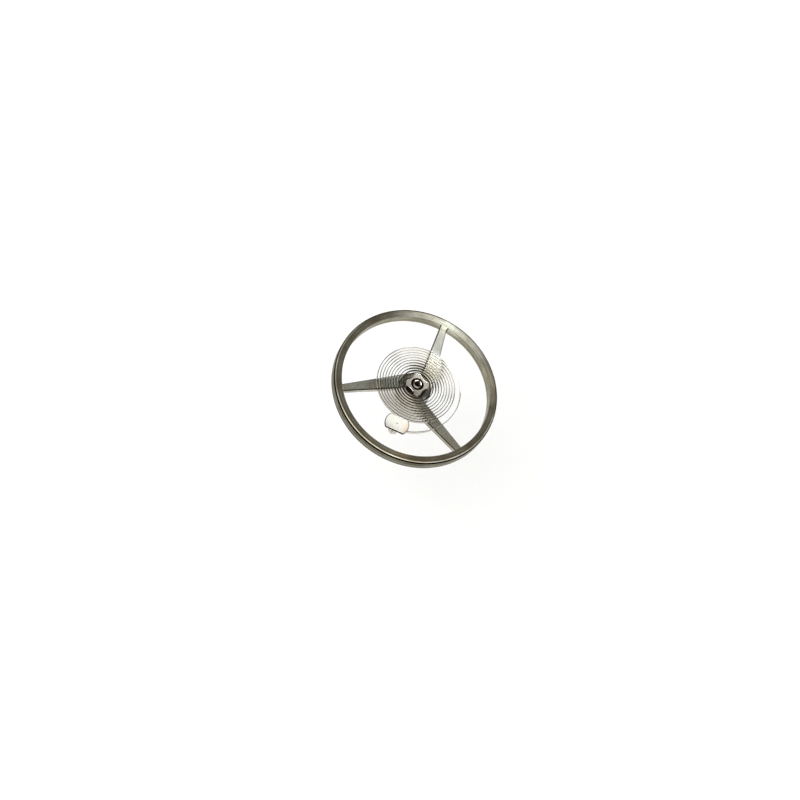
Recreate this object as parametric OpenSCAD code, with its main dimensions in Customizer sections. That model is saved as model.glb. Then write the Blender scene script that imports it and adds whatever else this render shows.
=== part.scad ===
// Watch balance wheel assembly: a three-armed balance wheel on its staff, with
// double roller, impulse jewel, collet, flat hairspring and stud.
// Millimetres. +Z runs up the staff, and the origin is the tip of the lower pivot.
// The stud lies towards -Y, and the coils run clockwise outwards, seen from above.

/* [Balance wheel] */
// Outer diameter of the rim
wheel_d = 10; // [9.2:0.1:12]
// Radial width of the rim
rim_w = 0.47; // [0.3:0.01:0.6]
// Height of the rim
rim_h = 0.68; // [0.4:0.01:0.9]
// Chamfer on the rim's outer top edge
rim_outer_chamfer = 0.06; // [0.02:0.005:0.1]
// Chamfer on the rim's other three edges
rim_small_chamfer = 0.025; // [0.01:0.005:0.06]
// Number of arms
arm_count = 3; // [2:1:4]
// Thickness of the arms and of the hub disc
arm_t = 0.37; // [0.2:0.01:0.45]
// Width of each arm where it meets the rim
arm_rim_w = 0.43; // [0.25:0.01:0.8]
// Distance at which the arm's straight edge passes the staff's axis
arm_offset = 0.06; // [0:0.01:0.2]
// Direction of the first arm's straight edge, from +X
arm_angle = 95.4; // [0:0.1:119]
// Diameter of the hub disc
hub_d = 2.04; // [1.7:0.02:2.6]

/* [Staff] */
// Diameter of both pivots
pivot_d = 0.11; // [0.08:0.005:0.16]
// Length of the lower pivot
lower_pivot_len = 0.3; // [0.2:0.01:0.5]
// Length of the upper pivot
upper_pivot_len = 0.3; // [0.2:0.01:0.5]
// Length of the cone behind each pivot
cone_len = 0.26; // [0.1:0.01:0.4]
// Diameter of each cone at its base
cone_d = 0.34; // [0.2:0.01:0.42]
// Length of the plain shaft between the lower cone and the roller
lower_shaft_len = 0.1; // [0.05:0.01:0.3]
// Length of the shaft above the collet
upper_shaft_len = 0.1; // [0.05:0.01:0.3]
// How much that shaft's radius narrows towards the cone
upper_shaft_taper = 0.01; // [0.005:0.005:0.03]
// Diameter of the seat for the roller
roller_seat_d = 0.44; // [0.43:0.01:0.52]
// Diameter of the flange under the wheel
flange_d = 1; // [0.8:0.02:1.4]
// Thickness of the flange under the wheel
flange_t = 0.12; // [0.08:0.01:0.3]
// Diameter of the seat for the wheel
wheel_seat_d = 0.72; // [0.66:0.01:0.76]
// Diameter of the rim of metal riveted over the hub
rivet_d = 0.84; // [0.78:0.01:0.96]
// Height of that riveted rim
rivet_t = 0.05; // [0.02:0.005:0.08]
// Diameter of the seat for the collet
collet_seat_d = 0.6; // [0.46:0.01:0.64]

/* [Double roller] */
// Diameter of the upper, larger disc that carries the jewel
roller_d = 2.1; // [2:0.02:2.4]
// Thickness of the larger disc
roller_t = 0.2; // [0.15:0.01:0.4]
// Diameter of the neck between the discs
roller_neck_d = 0.7; // [0.6:0.01:0.9]
// Length of the neck between the discs
roller_neck_len = 0.22; // [0.1:0.01:0.4]
// Diameter of the lower, safety disc
safety_d = 1.16; // [1:0.01:1.2]
// Thickness of the safety disc
safety_t = 0.18; // [0.12:0.01:0.3]
// Radius of the hollow that lets the guard finger pass
hollow_r = 0.18; // [0.1:0.01:0.2]

/* [Impulse jewel] */
// Diameter of the jewel before its flat is ground
jewel_d = 0.36; // [0.26:0.01:0.4]
// Share of the diameter that is left behind the flat
jewel_keep = 0.68; // [0.6:0.01:0.9]
// Length of the jewel
jewel_len = 0.46; // [0.3:0.01:0.6]
// Distance of the jewel's axis from the staff's
jewel_r = 0.8; // [0.76:0.01:0.82]
// Direction of the jewel from the staff, from +X
jewel_angle = 90; // [0:1:359]
// Diameter of the bead of shellac over the jewel's end
shellac_d = 0.5; // [0.42:0.01:0.56]
// Height of the bead of shellac
shellac_t = 0.05; // [0.03:0.005:0.07]

/* [Collet] */
// Diameter over the four lobes
collet_d = 1.4; // [1.3:0.01:1.6]
// Height of the collet
collet_h = 0.51; // [0.45:0.01:0.8]
// Gap between the riveted rim and the underside of the collet
collet_lift = 0.04; // [0.02:0.01:0.1]
// Least radius of the collet between two lobes
collet_waist_r = 0.53; // [0.46:0.01:0.58]
// Radius of the hollows between the lobes
collet_hollow_r = 0.83; // [0.7:0.01:1.2]
// Width of the countersink round the staff
countersink_w = 0.09; // [0.03:0.01:0.12]

/* [Hairspring] */
// Thickness of the strip
strip_t = 0.036; // [0.03:0.001:0.06]
// Height of the strip
strip_h = 0.2; // [0.12:0.01:0.26]
// Distance from coil to coil
spring_pitch = 0.1637; // [0.14:0.0001:0.175]
// Turns from the collet's weld to the bend
spring_turns = 10.66; // [8:0.01:11.4]
// Distance from the top of the strip to the top of the collet
strip_drop = 0.12; // [0.03:0.01:0.2]
// Turn in which the strip bends out of the coils
bend_angle = 16; // [8:1:30]
// How far that bend steps outwards
bend_out = 0.21; // [0.1:0.01:0.35]
// Turn from the bend to the stud
terminal_angle = 130; // [80:1:200]
// How far the terminal curve moves outwards on its way to the stud
terminal_out = 0.63; // [0.4:0.01:0.7]

/* [Stud] */
// Diameter over the round ends of the plate
stud_plate_d = 1.48; // [1.1:0.02:1.7]
// Width of the plate across its flats
stud_plate_w = 0.95; // [0.6:0.01:1]
// Thickness of the plate
stud_plate_t = 0.18; // [0.12:0.01:0.3]
// Height from the top of the strip to the top of the plate
stud_rise = 0.7; // [0.4:0.01:0.9]
// Diameter of the post
stud_post_d = 0.54; // [0.4:0.01:0.58]
// How far the post reaches below the strip
stud_reach = 0.07; // [0.04:0.01:0.15]
// Turn of the plate from square to the staff
stud_turn = 6; // [-10:1:15]
// Diameter of the small centre mark on the plate
stud_mark_d = 0.1; // [0.06:0.01:0.2]

/* [Fits] */
// Gap on the radius where one piece is pressed or cemented into another
seat_gap = 0.003; // [0.001:0.001:0.006]
// Gap between the strip and the collet's lobe that it is welded to
weld_gap = 0.01; // [0.008:0.001:0.015]
// Thickness of the cement on each side of the strip
cement_t = 0.05; // [0.03:0.005:0.08]

/* [Hidden] */
$fn = 96;
cut = 0.05; // how far a cutting solid runs past the face that it opens
rim_r = wheel_d / 2;
rim_in_r = rim_r - rim_w;
hub_r = hub_d / 2;
pivot_r = pivot_d / 2;
pivot_round = pivot_r / 2;

// Heights, from the tip of the lower pivot upwards
lower_cone_z = lower_pivot_len;
lower_shaft_z = lower_cone_z + cone_len;
safety_z = lower_shaft_z + lower_shaft_len;
neck_z = safety_z + safety_t;
roller_z = neck_z + roller_neck_len;
roller_top_z = roller_z + roller_t;
wheel_z = roller_top_z + flange_t;
arm_top_z = wheel_z + arm_t;
rivet_top_z = arm_top_z + rivet_t;
collet_z = rivet_top_z + collet_lift;
collet_top_z = collet_z + collet_h;
upper_cone_z = collet_top_z + upper_shaft_len;
upper_pivot_z = upper_cone_z + cone_len;
staff_top_z = upper_pivot_z + upper_pivot_len;
strip_top_z = collet_top_z - strip_drop;
strip_z = strip_top_z - strip_h;
post_z = strip_z - stud_reach;
plate_top_z = strip_top_z + stud_rise;
plate_z = plate_top_z - stud_plate_t;

// The hairspring is drawn from the inside outwards, clockwise as seen from above.
// A turn is how far round the strip has come from the middle of the welded lobe.
coil_steps = 24;
bend_steps = 4;
terminal_step = 10;
terminal_ease = 2.5;
stud_angle = -90;
lobe_count = 4;
lobe_lap = 12; // how far the strip's end reaches back past the middle of its lobe
coil_turn = spring_turns * 360;
bend_turn = coil_turn + bend_angle;
end_turn = bend_turn + terminal_angle;
weld_angle = stud_angle + end_turn;
spring_in_r = collet_d / 2 + weld_gap + strip_t / 2 + spring_pitch * lobe_lap / 360;
coil_out_r = spring_in_r + spring_pitch * spring_turns;
terminal_r = coil_out_r + bend_out;
stud_r = terminal_r + terminal_out;

function spring_r(turn) =
    turn <= coil_turn ? spring_in_r + spring_pitch * turn / 360 :
    turn <= bend_turn ? coil_out_r + bend_out * pow((turn - coil_turn) / bend_angle, 2) :
    terminal_r + terminal_out * pow((turn - bend_turn) / terminal_angle, terminal_ease);

function spring_point(turn) =
    let (a = weld_angle - turn)
    spring_r(turn) * [cos(a), sin(a)];

terminal_steps = ceil(terminal_angle / terminal_step);
strip_turns = concat(
    [-lobe_lap],
    [for (t = [0:360 / coil_steps:coil_turn - 1]) t],
    [coil_turn],
    [for (i = [1:bend_steps]) coil_turn + bend_angle * i / bend_steps],
    [for (i = [1:terminal_steps]) bend_turn + terminal_angle * i / terminal_steps]
);
strip_points = [for (t = strip_turns) spring_point(t)];
strip_last = len(strip_points) - 1;

// Unit vector across the strip at one of its points, away from the staff
function strip_side(i) =
    let (along = strip_points[min(i + 1, strip_last)] - strip_points[max(i - 1, 0)])
    [-along[1], along[0]] / norm(along);

strip_outside = [for (i = [0:strip_last]) strip_points[i] + strip_side(i) * strip_t / 2];
strip_inside = [for (i = [0:strip_last]) strip_points[i] - strip_side(i) * strip_t / 2];

// The least gap from one coil to the next, taken at the corners that face each other
coil_last = floor(coil_turn * coil_steps / 360) - coil_steps;
coil_gap = min([
    for (i = [1:coil_last]) norm(strip_inside[i + coil_steps] - strip_outside[i])
]);
echo(least_gap_between_coils_mm = coil_gap);

// Placed on the stud's axis and turned from +X
module at_stud(turned) {
    rotate([0, 0, stud_angle])
        translate([stud_r, 0, 0])
            rotate([0, 0, turned - stud_angle])
                children();
}

// The wheel's rim as a ring with chamfered edges
module rim() {
    outer = rim_outer_chamfer;
    small = rim_small_chamfer;
    rotate_extrude()
        polygon([
            [rim_in_r + small, 0],
            [rim_r - small, 0],
            [rim_r, small],
            [rim_r, rim_h - outer],
            [rim_r - outer, rim_h],
            [rim_in_r + small, rim_h],
            [rim_in_r, rim_h - small],
            [rim_in_r, small]
        ]);
}

// One arm: one edge passes close to the staff's axis, and the other touches the hub disc
module arm() {
    corner = asin(arm_offset / rim_in_r) + 2 * asin(arm_rim_w / 2 / rim_in_r);
    touch = corner + acos(hub_r / rim_in_r);
    at_rim = rim_in_r * [cos(corner), -sin(corner)];
    at_hub = hub_r * [cos(touch), -sin(touch)];
    along = (at_rim - at_hub) / norm(at_rim - at_hub);
    linear_extrude(arm_t)
        polygon([
            [0, -arm_offset],
            [rim_in_r + rim_w / 2, -arm_offset],
            at_rim + along * rim_w / 2,
            at_hub
        ]);
}

module balance_wheel() {
    color("#8f8b7c")
        translate([0, 0, wheel_z])
            difference() {
                union() {
                    rim();
                    cylinder(h = arm_t, r = hub_r);
                    for (i = [0:arm_count - 1])
                        rotate([0, 0, arm_angle + i * 360 / arm_count])
                            arm();
                }
                translate([0, 0, -cut])
                    cylinder(h = arm_t + 2 * cut, r = wheel_seat_d / 2 + seat_gap);
            }
}

// Each cone leaves its pivot in a hollow curve, drawn in steps from the pivot on
cone_steps = 4;
cone_ease = 1.5;
function cone_point(i, pivot_end, way) = [
    pivot_r + (cone_d / 2 - pivot_r) * pow(i / cone_steps, cone_ease),
    pivot_end + way * cone_len * i / cone_steps
];

// The staff is one turned piece, from pivot to pivot
module balance_staff() {
    seat_chamfer = 0.04;
    flange_chamfer = 0.03;
    color("#6d4f45")
        rotate_extrude()
            polygon(concat([
                [0, 0],
                [pivot_r - pivot_round, 0],
                [pivot_r, pivot_round]
            ],
            [for (i = [0:cone_steps]) cone_point(i, lower_cone_z, 1)],
            [
                [roller_seat_d / 2, lower_shaft_z + seat_chamfer],
                [roller_seat_d / 2, roller_top_z],
                [flange_d / 2 - flange_chamfer, roller_top_z],
                [flange_d / 2, roller_top_z + flange_chamfer],
                [flange_d / 2, wheel_z],
                [wheel_seat_d / 2, wheel_z],
                [wheel_seat_d / 2, arm_top_z],
                [rivet_d / 2, arm_top_z],
                [wheel_seat_d / 2, rivet_top_z],
                [collet_seat_d / 2, rivet_top_z],
                [collet_seat_d / 2, collet_top_z - seat_chamfer],
                [collet_seat_d / 2 - seat_chamfer, collet_top_z],
                [cone_d / 2 + upper_shaft_taper, collet_top_z]
            ],
            [for (i = [cone_steps:-1:0]) cone_point(i, upper_pivot_z, -1)],
            [
                [pivot_r, staff_top_z - pivot_round],
                [pivot_r - pivot_round, staff_top_z],
                [0, staff_top_z]
            ]));
}

// The jewel's section: a circle with a flat on the side away from the staff
module jewel_section(gap) {
    flat = jewel_d * (jewel_keep - 0.5) + gap;
    intersection() {
        circle(d = jewel_d + 2 * gap, $fn = 48);
        translate([-jewel_d, -jewel_d])
            square([jewel_d + flat, 2 * jewel_d]);
    }
}

module at_jewel() {
    rotate([0, 0, jewel_angle])
        translate([jewel_r, 0, 0])
            children();
}

// A large disc for the jewel, a neck, and a safety disc with a hollow under the jewel
module double_roller() {
    hollow_at = safety_d / 2 + hollow_r / 3;
    color("#a9a69e")
        difference() {
            union() {
                translate([0, 0, safety_z])
                    cylinder(h = safety_t, d = safety_d);
                translate([0, 0, safety_z])
                    cylinder(h = roller_top_z - safety_z, d = roller_neck_d);
                translate([0, 0, roller_z])
                    cylinder(h = roller_t, d = roller_d);
            }
            translate([0, 0, safety_z - cut])
                cylinder(h = roller_top_z - safety_z + 2 * cut, r = roller_seat_d / 2 + seat_gap);
            rotate([0, 0, jewel_angle])
                translate([hollow_at, 0, safety_z - cut])
                    cylinder(h = safety_t + 2 * cut, r = hollow_r, $fn = 48);
            at_jewel()
                translate([0, 0, roller_z - cut])
                    linear_extrude(roller_t + 2 * cut)
                        jewel_section(seat_gap);
        }
}

module impulse_jewel() {
    color("#b3123c")
        at_jewel()
            translate([0, 0, roller_top_z - jewel_len])
                linear_extrude(jewel_len)
                    jewel_section(0);
}

// A low domed bead over the upper end of the jewel, clear of the flange
module jewel_shellac() {
    bead_steps = 5;
    dome_r = (pow(shellac_d / 2, 2) + pow(shellac_t, 2)) / (2 * shellac_t);
    color("#7a3a12")
        at_jewel()
            translate([0, 0, roller_top_z])
                rotate_extrude($fn = 48)
                    polygon(concat([[0, 0]], [
                        for (i = [bead_steps:-1:0])
                            let (r = shellac_d / 2 * i / bead_steps)
                            [r, shellac_t - dome_r + sqrt(dome_r * dome_r - r * r)]
                    ]));
}

// A round collet with four hollows, which leave four lobes
module collet() {
    hollow_at = collet_waist_r + collet_hollow_r;
    bore_r = collet_seat_d / 2 + seat_gap;
    color("#b9b0a6")
        translate([0, 0, collet_z])
            difference() {
                cylinder(h = collet_h, d = collet_d);
                for (i = [0:lobe_count - 1])
                    rotate([0, 0, weld_angle + (i + 0.5) * 360 / lobe_count])
                        translate([hollow_at, 0, -cut])
                            cylinder(h = collet_h + 2 * cut, r = collet_hollow_r);
                translate([0, 0, -cut])
                    cylinder(h = collet_h + 2 * cut, r = bore_r);
                translate([0, 0, collet_h - countersink_w])
                    cylinder(h = countersink_w, r1 = bore_r, r2 = bore_r + countersink_w);
            }
}

// One flat strip, wound from the collet's lobe to the stud
module hairspring() {
    color("#8a8274")
        translate([0, 0, strip_z])
            linear_extrude(strip_h)
                polygon(concat(
                    strip_outside,
                    [for (i = [strip_last:-1:0]) strip_inside[i]]
                ));
}

// The strip's last straight run ends on the post's axis, and this is its direction
strip_run = strip_points[strip_last - 1] - strip_points[strip_last];
slot_angle = atan2(strip_run[1], strip_run[0]);
slot_w = strip_t + 2 * cement_t;
slot_h = stud_reach + strip_h + cement_t;

// The slot in the post, open below, which the strip's end lies in
module slot(gap) {
    at_stud(slot_angle)
        translate([gap - cement_t, gap - slot_w / 2, post_z])
            cube([cement_t + stud_post_d, slot_w - 2 * gap, slot_h - gap]);
}

module post() {
    at_stud(0)
        translate([0, 0, post_z])
            cylinder(h = plate_z - post_z, d = stud_post_d);
}

module plate() {
    at_stud(stud_angle + 90 + stud_turn)
        translate([0, 0, plate_z])
            intersection() {
                cylinder(h = stud_plate_t, d = stud_plate_d);
                translate([-stud_plate_d, -stud_plate_w / 2, 0])
                    cube([2 * stud_plate_d, stud_plate_w, stud_plate_t]);
            }
}

// A plate with round ends and two flats, on a post that is slotted for the strip
module stud() {
    mark_depth = stud_mark_d / 3;
    color("#e6dfcc")
        difference() {
            union() {
                plate();
                post();
            }
            slot(0);
            at_stud(0)
                translate([0, 0, plate_top_z - mark_depth])
                    cylinder(h = mark_depth, r1 = 0, r2 = stud_mark_d / 2, $fn = 32);
        }
}

// The cement that fills the slot round the strip
module stud_cement() {
    color("#8c6a2e")
        difference() {
            intersection() {
                slot(seat_gap);
                post();
            }
            at_stud(slot_angle)
                translate([-seat_gap, -strip_t / 2 - seat_gap, strip_z - seat_gap])
                    cube([stud_post_d, strip_t + 2 * seat_gap, strip_h + 2 * seat_gap]);
        }
}

balance_wheel();
balance_staff();
double_roller();
impulse_jewel();
jewel_shellac();
collet();
hairspring();
stud();
stud_cement();
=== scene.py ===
# %% [markdown]
# A watch's balance wheel, dressed for its picture.
#
# The balance is the part of a mechanical watch that swings to and fro and
# counts the time. A thin-rimmed wheel turns on a steel staff. A flat spiral
# spring holds it: its inner end is welded to a collet on the staff, and its
# outer end is cemented into a stud that hangs on the movement. Under the wheel
# a double roller carries a ruby pin, which drives the pallet fork.
#
# The solid model of these pieces is loaded first. Each piece that shows is then
# made again with finer curves, in the same place and at the same size, because
# polished metal shows every flat facet of a coarse mesh.

# %% Load the solid model
import math

import bpy
import numpy as np
from mathutils import Matrix, Vector


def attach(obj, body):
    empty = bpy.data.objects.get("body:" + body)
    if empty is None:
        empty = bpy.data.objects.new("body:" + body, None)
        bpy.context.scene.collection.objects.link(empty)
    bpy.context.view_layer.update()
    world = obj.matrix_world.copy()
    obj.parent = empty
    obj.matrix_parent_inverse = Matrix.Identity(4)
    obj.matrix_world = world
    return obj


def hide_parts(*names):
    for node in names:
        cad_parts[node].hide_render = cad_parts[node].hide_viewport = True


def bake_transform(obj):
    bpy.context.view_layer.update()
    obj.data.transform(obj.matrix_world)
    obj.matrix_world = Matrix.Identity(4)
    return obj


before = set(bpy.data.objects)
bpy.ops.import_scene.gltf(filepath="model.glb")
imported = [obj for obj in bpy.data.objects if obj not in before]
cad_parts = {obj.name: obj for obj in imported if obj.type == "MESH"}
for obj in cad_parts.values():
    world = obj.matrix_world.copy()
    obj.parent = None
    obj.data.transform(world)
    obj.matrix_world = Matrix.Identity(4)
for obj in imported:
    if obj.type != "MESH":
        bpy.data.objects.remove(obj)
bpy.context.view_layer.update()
MM = 0.001
print("nodes:", ", ".join(sorted(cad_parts)))

# %% [markdown]
# Almost every piece here was turned on a lathe or cut with straight walls, so
# one helper makes them all. It takes rings of points, one above or inside the
# other, and joins each ring to the next with faces. A solid of revolution is
# rings of circles, and a flat plate is rings that follow its outline. Blender's
# own way would be a Screw modifier for the first and an extruded outline for the
# second. Rings of points in a numpy array do both, with every size exact.

# %% Rings of points, and the skin over them
TURN = 2 * np.pi
SAME_POINT = 2e-5


def around(count):
    """Angles of one full turn in even steps, in radians."""
    return np.linspace(0, TURN, count, endpoint=False)


def rings(angle, radius, height):
    """Points round the axis: x is the radius times the cosine of the angle, y is
    the radius times its sine, and z is the height. Radius and height are columns,
    one row for each ring, and the radius may change with the angle too."""
    x, y, z = np.broadcast_arrays(radius * np.cos(angle), radius * np.sin(angle), height)
    return np.stack([x, y, z], axis=-1)


def column(*values):
    """One row for each ring: a number, or an array with a value for each angle."""
    width = max(np.size(v) for v in values)
    return np.stack([np.broadcast_to(v, (width,)) for v in values])


def skin(name, points, loops=False, body="balance", stands_for=(), sharp=22):
    """A closed mesh over a grid of points, in millimetres. Point (i, j) joins
    (i, j + 1), (i + 1, j + 1) and (i + 1, j), with j closed round the ring, and
    with i closed too where the rings form a loop. Points that coincide become one,
    which closes the poles, and two faces that lie back to back cancel out. The
    volume is a sixth of the sum of p . (q x r) over the triangles, and if it comes
    out negative, the faces are turned to point outwards. Two faces that meet at
    more than the angle sharp, in degrees, keep a sharp edge in the shading."""
    count, width = points.shape[:2]
    flat = points.reshape(-1, 3)
    keys = np.round(flat / SAME_POINT).astype(np.int64)
    _, first, weld = np.unique(keys, axis=0, return_index=True, return_inverse=True)
    ids = weld.reshape(count, width)
    if loops:
        ids = np.vstack([ids, ids[:1]])
    a, b = ids[:-1], ids[1:]
    quads = np.stack([a, np.roll(a, -1, 1), np.roll(b, -1, 1), b], -1).reshape(-1, 4)
    _, same, times = np.unique(np.sort(quads, 1), axis=0, return_inverse=True, return_counts=True)
    quads = quads[times[same.reshape(-1)] == 1]
    tris = np.concatenate([quads[:, [0, 1, 2]], quads[:, [0, 2, 3]]])
    a, b, c = tris.T
    tris = tris[(a != b) & (b != c) & (a != c)]
    corners = flat[first]
    p, q, r = (corners[tris[:, i]] for i in range(3))
    volume = np.einsum("ij,ij->", p, np.cross(q, r)) / 6
    if volume < 0:
        tris = tris[:, ::-1]
    mesh = bpy.data.meshes.new(name)
    mesh.from_pydata((corners * MM).tolist(), [], tris.tolist())
    mesh.update()
    mesh.shade_smooth()
    mesh.set_sharp_from_angle(angle=math.radians(sharp))
    piece = bpy.data.objects.new(name, mesh)
    bpy.context.scene.collection.objects.link(piece)
    if body:
        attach(piece, body)
    if stands_for:
        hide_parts(*stands_for)
    low, high = corners.min(0), corners.max(0)
    print(f"{name}: {len(tris)} triangles, {abs(volume):.4f} mm3, {np.round(high - low, 3)} mm")
    return piece


# %% [markdown]
# No edge of polished metal is quite sharp. It is broken by a narrow flat or by a
# curve, a few hundredths of a millimetre wide. A flat mirrors one part of the room
# and shows as one even line, dark or bright. A curve mirrors a wide sweep of it and
# shows as a dark line beside a bright one. That is most of what makes a small part
# look like metal. Blender's Bevel modifier could cut both, but here the outlines
# carry them, so that each width is exact. One helper gives the steps of both kinds.

# %% Broken edges


def rounding(size, steps=6):
    """A rounded edge in steps, as u goes from 0 to a quarter turn: how far each step
    lies in from the side, size (1 - cos u), and down from the top, size (1 - sin u).
    With two steps it is one narrow flat. One more step on the big face at each end,
    a quarter of the size further on, keeps those faces flat in smooth shading."""
    u = np.linspace(0, np.pi / 2, steps)
    beyond = size * 1.25
    inwards = np.concatenate([[0], size * (1 - np.cos(u)), [beyond]])
    down = np.concatenate([[beyond], size * (1 - np.sin(u)), [0]])
    return inwards, down


# %% [markdown]
# The rim is a plain ring. Its section is a rectangle with broken corners, and
# turning that section round the staff gives the ring. The outer top edge has two
# flats: a low bevel, hardly steeper than the top, and a steep one under it. The
# first mirrors the light above the wheel and the second the dark of the room, so
# a bright and a dark line run side by side along the rim. The steep flat is also
# painted dark, as a painted dark reflection.

# %% The rim
wheel_z, rim_h, arm_t = 1.38, 0.68, 0.37
rim_r, rim_in_r = 5.0, 4.53
rim_top = wheel_z + rim_h
# Steps of the outer top edge, in from the wall and down from the top. They are the
# wall, the steep flat, the low bevel and the start of the top.
outer_in = np.array([0, 0, 0.002, 0.058, 0.116, 0.126])
outer_down = np.array([0.1, 0.085, 0.08, 0.021, 0, 0])
fine_in, fine_down = rounding(0.008, 2)
under_in, under_down = rounding(0.035, 2)

rim_section = np.concatenate([
    np.column_stack([rim_r - under_in, wheel_z + under_down])[::-1],
    np.column_stack([rim_r - outer_in, rim_top - outer_down]),
    np.column_stack([rim_in_r + fine_in, rim_top - fine_down])[::-1],
    np.column_stack([rim_in_r + under_in, wheel_z + under_down]),
])
skin("rim", rings(around(720), rim_section[:, :1], rim_section[:, 1:]), loops=True,
     stands_for=["balance_wheel"], sharp=15)

# %% [markdown]
# Three arms and a hub disc are sawn from one plate. Each arm has one straight
# edge that passes close to the staff's axis, and another that just touches the
# hub disc. The outline goes round once: along the touching edge to the rim, back
# along the straight edge, and on round the hub to the next arm. The flat faces
# are drawn as lines from the bore to that outline, so the whole plate is again a
# set of rings.

# %% Arms and hub disc
hub_r, arm_rim_w, arm_offset, arm_angle = 1.02, 0.43, 0.06, 95.4
bore_r = 0.363
inside_rim = (rim_r - rim_in_r) / 2


def polar(radius, degrees):
    """The point at that radius and angle: (radius cos angle, radius sin angle)."""
    turn = np.radians(degrees)
    return np.stack(np.broadcast_arrays(radius * np.cos(turn), radius * np.sin(turn)), -1)


def between(start, end, count):
    """Points on a line from start up to, but not at, end: start + (end - start) t."""
    t = np.arange(count)[:, None] / count
    return np.asarray(start) + (np.asarray(end) - np.asarray(start)) * t


def inset(loop, distance):
    """A closed loop moved inwards: each point goes along the sum of its two edges'
    inward normals, divided by 1 plus their dot product, times the distance."""
    edge = np.roll(loop, -1, 0) - loop
    edge = edge / np.linalg.norm(edge, axis=1, keepdims=True)
    normal = np.stack([-edge[:, 1], edge[:, 0]], -1)
    before = np.roll(normal, 1, 0)
    scale = 1 + np.einsum("ij,ij->i", normal, before)[:, None]
    return loop + (normal + before) / scale * distance


def at_height(loop, z):
    """A flat loop lifted to a height."""
    return np.column_stack([loop, np.full(len(loop), z)])


corner = math.degrees(
    math.asin(arm_offset / rim_in_r) + 2 * math.asin(arm_rim_w / 2 / rim_in_r))
touch = corner + math.degrees(math.acos(hub_r / rim_in_r))
hub_meets = -math.degrees(math.asin(arm_offset / hub_r))
at_hub, at_rim = polar(hub_r, -touch), polar(rim_in_r, -corner)
at_rim = at_rim + (at_rim - at_hub) / np.linalg.norm(at_rim - at_hub) * inside_rim
tip = np.array([rim_in_r + inside_rim, -arm_offset])
root = polar(hub_r, hub_meets)
hub_arc = polar(hub_r, np.linspace(hub_meets, 120 - touch, 20, endpoint=False))
one_arm = np.concatenate([
    between(at_hub, at_rim, 24), between(at_rim, tip, 4), between(tip, root, 24), hub_arc])
# The bore has one point for each point of the outline. These four fans of angles
# spread them so that no line from the bore to the outline crosses another.
one_fan = np.concatenate([
    np.linspace(-touch, -24, 24, endpoint=False), np.linspace(-24, -18, 4, endpoint=False),
    np.linspace(-18, -8, 24, endpoint=False), np.linspace(-8, 120 - touch, 20, endpoint=False)])


def turned_by(loop, degrees):
    """A flat loop turned about the axis: (x cos - y sin, x sin + y cos)."""
    c, s = math.cos(math.radians(degrees)), math.sin(math.radians(degrees))
    return loop @ np.array([[c, s], [-s, c]])


arm_turns = arm_angle + 120.0 * np.arange(3)
outline = np.concatenate([turned_by(one_arm, t) for t in arm_turns])
bore = polar(bore_r, np.concatenate([one_fan + t for t in arm_turns]))
arm_top = wheel_z + arm_t
arm_in, arm_down = rounding(0.045, 2)
skin("arms_and_hub", np.stack(
    [at_height(bore, wheel_z)]
    + [at_height(inset(outline, i), wheel_z + d) for i, d in zip(arm_in[::-1], arm_down[::-1])]
    + [at_height(inset(outline, i), arm_top - d) for i, d in zip(arm_in, arm_down)]
    + [at_height(bore, arm_top)]), loops=True, stands_for=["balance_wheel"])
print("arms start at", arm_turns, "degrees")

# %% [markdown]
# The staff is turned from one steel rod. Each pivot flows into its cone in a
# hollow curve, as on a trumpet, because a sharp corner there would break when the
# watch is dropped. The radius along the cone follows a power of the distance from
# the pivot. The tips are rounded, so that they run on their cap jewels with
# little friction.

# %% The staff
pivot_r, pivot_len, cone_r, cone_len = 0.055, 0.3, 0.17, 0.26
roller_top, rivet_top, collet_top, staff_top = 1.26, 1.8, 2.35, 3.01
collet_seat_r, wheel_seat_r, rivet_r, flange_r, roller_seat_r = 0.3, 0.36, 0.42, 0.5, 0.22
roller_seat_z, edge_break = 0.6, 0.012


def pivot_profile(steps=14):
    """Radius and distance from the tip, for tip, pivot and cone. The tip is a
    quarter of an ellipse, and the cone's radius grows with the power 1.5 of the
    distance from the pivot's shoulder."""
    bend = np.linspace(0, np.pi / 2, 8)
    tip_part = np.column_stack([
        pivot_r / 2 + pivot_r / 2 * np.sin(bend), pivot_r / 2 * (1 - np.cos(bend))])
    along = np.linspace(0, 1, steps)
    cone_part = np.column_stack([
        pivot_r + (cone_r - pivot_r) * along ** 1.5, pivot_len + cone_len * along])
    return np.concatenate([[[0, 0]], tip_part, cone_part])


lower = pivot_profile()
upper = pivot_profile()[::-1] * [1, -1] + [0, staff_top]
middle = np.array([
    [roller_seat_r, roller_seat_z], [roller_seat_r, roller_top], [flange_r - 0.03, roller_top],
    [flange_r, roller_top + 0.03], [flange_r, wheel_z], [wheel_seat_r, wheel_z],
    [wheel_seat_r, arm_top], [rivet_r, arm_top],
    [0.415, arm_top + edge_break], [0.385, rivet_top - edge_break],
    [wheel_seat_r, rivet_top], [collet_seat_r, rivet_top], [collet_seat_r, collet_top - 0.06],
    [collet_seat_r - 0.04, collet_top - 0.02], [cone_r + 0.01, collet_top + 0.006],
])
profile = np.concatenate([lower, middle, upper])
skin("staff", rings(around(128), profile[:, :1], profile[:, 1:]),
     stands_for=["balance_staff"])

# %% [markdown]
# The double roller sits under the wheel. The large disc carries the ruby pin, and
# the small safety disc below it has a hollow under the pin, which lets the guard
# finger of the pallet fork pass. In a given direction, the edge of the hollow lies
# where a ray from the axis first meets a small circle, and that distance replaces
# the disc's radius there.

# %% The double roller
roller_r, roller_z, neck_r, safety_r, safety_z, safety_t = 1.05, 1.06, 0.35, 0.58, 0.66, 0.18
roller_bore, jewel_deg, hollow_r = 0.223, 90.0, 0.18
c = 0.015  # width of the chamfers
NEVER = 9.0  # a distance further out than any edge


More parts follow.
